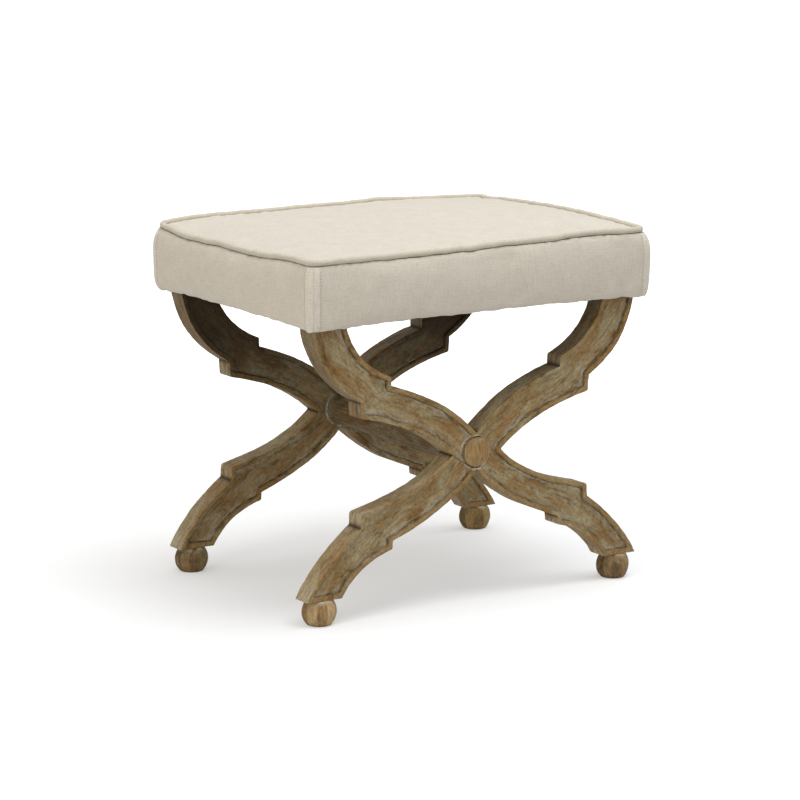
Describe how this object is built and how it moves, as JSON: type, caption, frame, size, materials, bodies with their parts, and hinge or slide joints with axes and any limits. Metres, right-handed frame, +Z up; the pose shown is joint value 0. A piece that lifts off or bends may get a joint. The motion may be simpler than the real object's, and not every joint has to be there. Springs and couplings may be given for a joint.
{
  "type": "x frame stool",
  "caption": "Upholstered stool: a boxed, welted seat on two carved X trestles joined by a round stretcher, on ball feet.",
  "frame": {"origin": "on the floor, in the middle of the footprint", "axes": "+X along the long side of the seat, -Y out of the front, +Z up"},
  "size_m": [0.5822, 0.4502, 0.5279],
  "materials": {
    "limed_oak": "matte",
    "turned_oak": "matte",
    "pine": "matte",
    "beech_dowel": "matte",
    "plywood": "matte",
    "zinc_steel": "satin",
    "foam": "matte",
    "wadding": "matte",
    "linen": "matte",
    "cambric": "matte"
  },
  "bodies": {
    "root": {"leg_front_from_left_foot": "limed_oak", "foot_front_left": "turned_oak", "foot_dowel_front_left": "beech_dowel", "corner_block_front_left": "pine", "deck_screw_front_left": "zinc_steel", "rail_dowel_front_left_1": "beech_dowel", "leg_screw_front_left_1": "zinc_steel", "rail_dowel_front_left_2": "beech_dowel", "leg_screw_front_left_2": "zinc_steel", "leg_front_from_right_foot": "limed_oak", "foot_front_right": "turned_oak", "foot_dowel_front_right": "beech_dowel", "corner_block_front_right": "pine", "deck_screw_front_right": "zinc_steel", "rail_dowel_front_right_1": "beech_dowel", "leg_screw_front_right_1": "zinc_steel", "rail_dowel_front_right_2": "beech_dowel", "leg_screw_front_right_2": "zinc_steel", "roundel_front": "turned_oak", "coach_screw_front": "zinc_steel", "washer_front": "zinc_steel", "rail_front": "pine", "boxing_front": "linen", "leg_rear_from_left_foot": "limed_oak", "foot_rear_left": "turned_oak", "foot_dowel_rear_left": "beech_dowel", "corner_block_rear_left": "pine", "deck_screw_rear_left": "zinc_steel", "rail_dowel_rear_left_1": "beech_dowel", "leg_screw_rear_left_1": "zinc_steel", "rail_dowel_rear_left_2": "beech_dowel", "leg_screw_rear_left_2": "zinc_steel", "leg_rear_from_right_foot": "limed_oak", "foot_rear_right": "turned_oak", "foot_dowel_rear_right": "beech_dowel", "corner_block_rear_right": "pine", "deck_screw_rear_right": "zinc_steel", "rail_dowel_rear_right_1": "beech_dowel", "leg_screw_rear_right_1": "zinc_steel", "rail_dowel_rear_right_2": "beech_dowel", "leg_screw_rear_right_2": "zinc_steel", "roundel_rear": "turned_oak", "coach_screw_rear": "zinc_steel", "washer_rear": "zinc_steel", "rail_rear": "pine", "boxing_rear": "linen", "rail_left": "pine", "boxing_left": "linen", "rail_right": "pine", "boxing_right": "linen", "stretcher": "limed_oak", "deck_board": "plywood", "foam_pad": "foam", "wadding_wrap": "wadding", "cover_top": "linen", "welt": "linen", "dust_cover": "cambric"}
  },
  "joints": []
}
